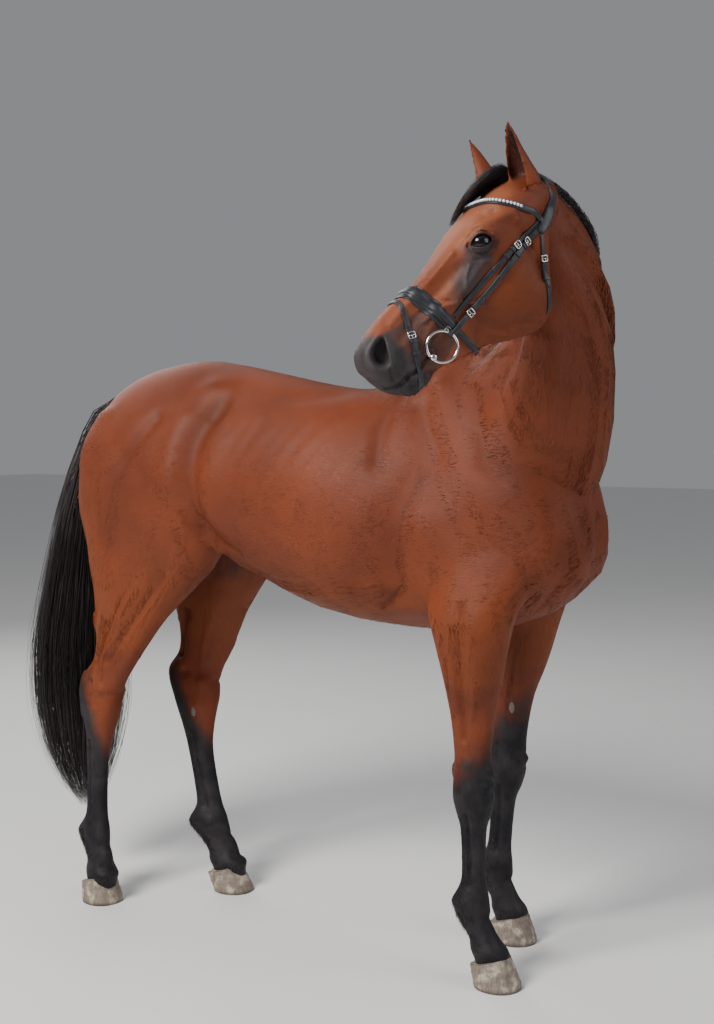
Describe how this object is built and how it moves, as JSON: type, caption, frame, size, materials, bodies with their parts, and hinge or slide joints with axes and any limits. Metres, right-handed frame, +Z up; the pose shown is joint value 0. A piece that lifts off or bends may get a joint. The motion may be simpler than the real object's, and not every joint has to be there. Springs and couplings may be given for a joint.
{
  "type": "standing horse",
  "caption": "Life-size still bay horse standing on four hooves, its head turned back over its right side, wearing a snaffle bridle without reins.",
  "frame": {"origin": "on the floor under the middle of the horse's bounding box", "axes": "+X the way the trunk faces, +Y the horse's left, +Z up"},
  "size_m": [2.0418, 1.0246, 2.1407],
  "materials": {
    "coat": "short glossy bay fur",
    "black_coat": "short black fur",
    "hoof_horn": "worn horn",
    "hair": "long coarse black hair",
    "eye": "wet",
    "bridle_leather": "oiled black leather",
    "steel": "polished",
    "stones": "cut clear stones"
  },
  "bodies": {
    "root": {"head": "coat", "neck": "coat", "forequarters": "coat", "barrel": "coat", "hindquarters": "coat", "fore_right_forearm": "coat", "fore_right_knee_and_cannon": "black_coat", "fore_right_pastern": "black_coat", "fore_left_forearm": "coat", "fore_left_knee_and_cannon": "black_coat", "fore_left_pastern": "black_coat", "hind_right_gaskin": "coat", "hind_right_hock_and_cannon": "black_coat", "hind_right_pastern": "black_coat", "hind_left_gaskin": "coat", "hind_left_hock_and_cannon": "black_coat", "hind_left_pastern": "black_coat", "fore_right_hoof": "hoof_horn", "fore_left_hoof": "hoof_horn", "hind_right_hoof": "hoof_horn", "hind_left_hoof": "hoof_horn", "eye_left": "eye", "ear_left": "coat", "eye_right": "eye", "ear_right": "coat", "tail_dock": "coat", "tail_hair": "hair", "mane": "hair", "noseband": "bridle_leather", "flash_strap": "bridle_leather", "flash_buckle": "steel", "browband": "bridle_leather", "browband_stones": "stones", "headpiece": "bridle_leather", "noseband_cheek_left": "bridle_leather", "noseband_buckle_left": "steel", "bit_cheek_left": "bridle_leather", "cheek_buckle_left": "steel", "bit_buckle_left": "steel", "bit_ring_left": "steel", "throatlatch_left": "bridle_leather", "noseband_cheek_right": "bridle_leather", "noseband_buckle_right": "steel", "bit_cheek_right": "bridle_leather", "cheek_buckle_right": "steel", "bit_buckle_right": "steel", "bit_ring_right": "steel", "throatlatch_right": "bridle_leather", "forelock": "hair", "forelock_tip": "bridle_leather"}
  },
  "joints": []
}
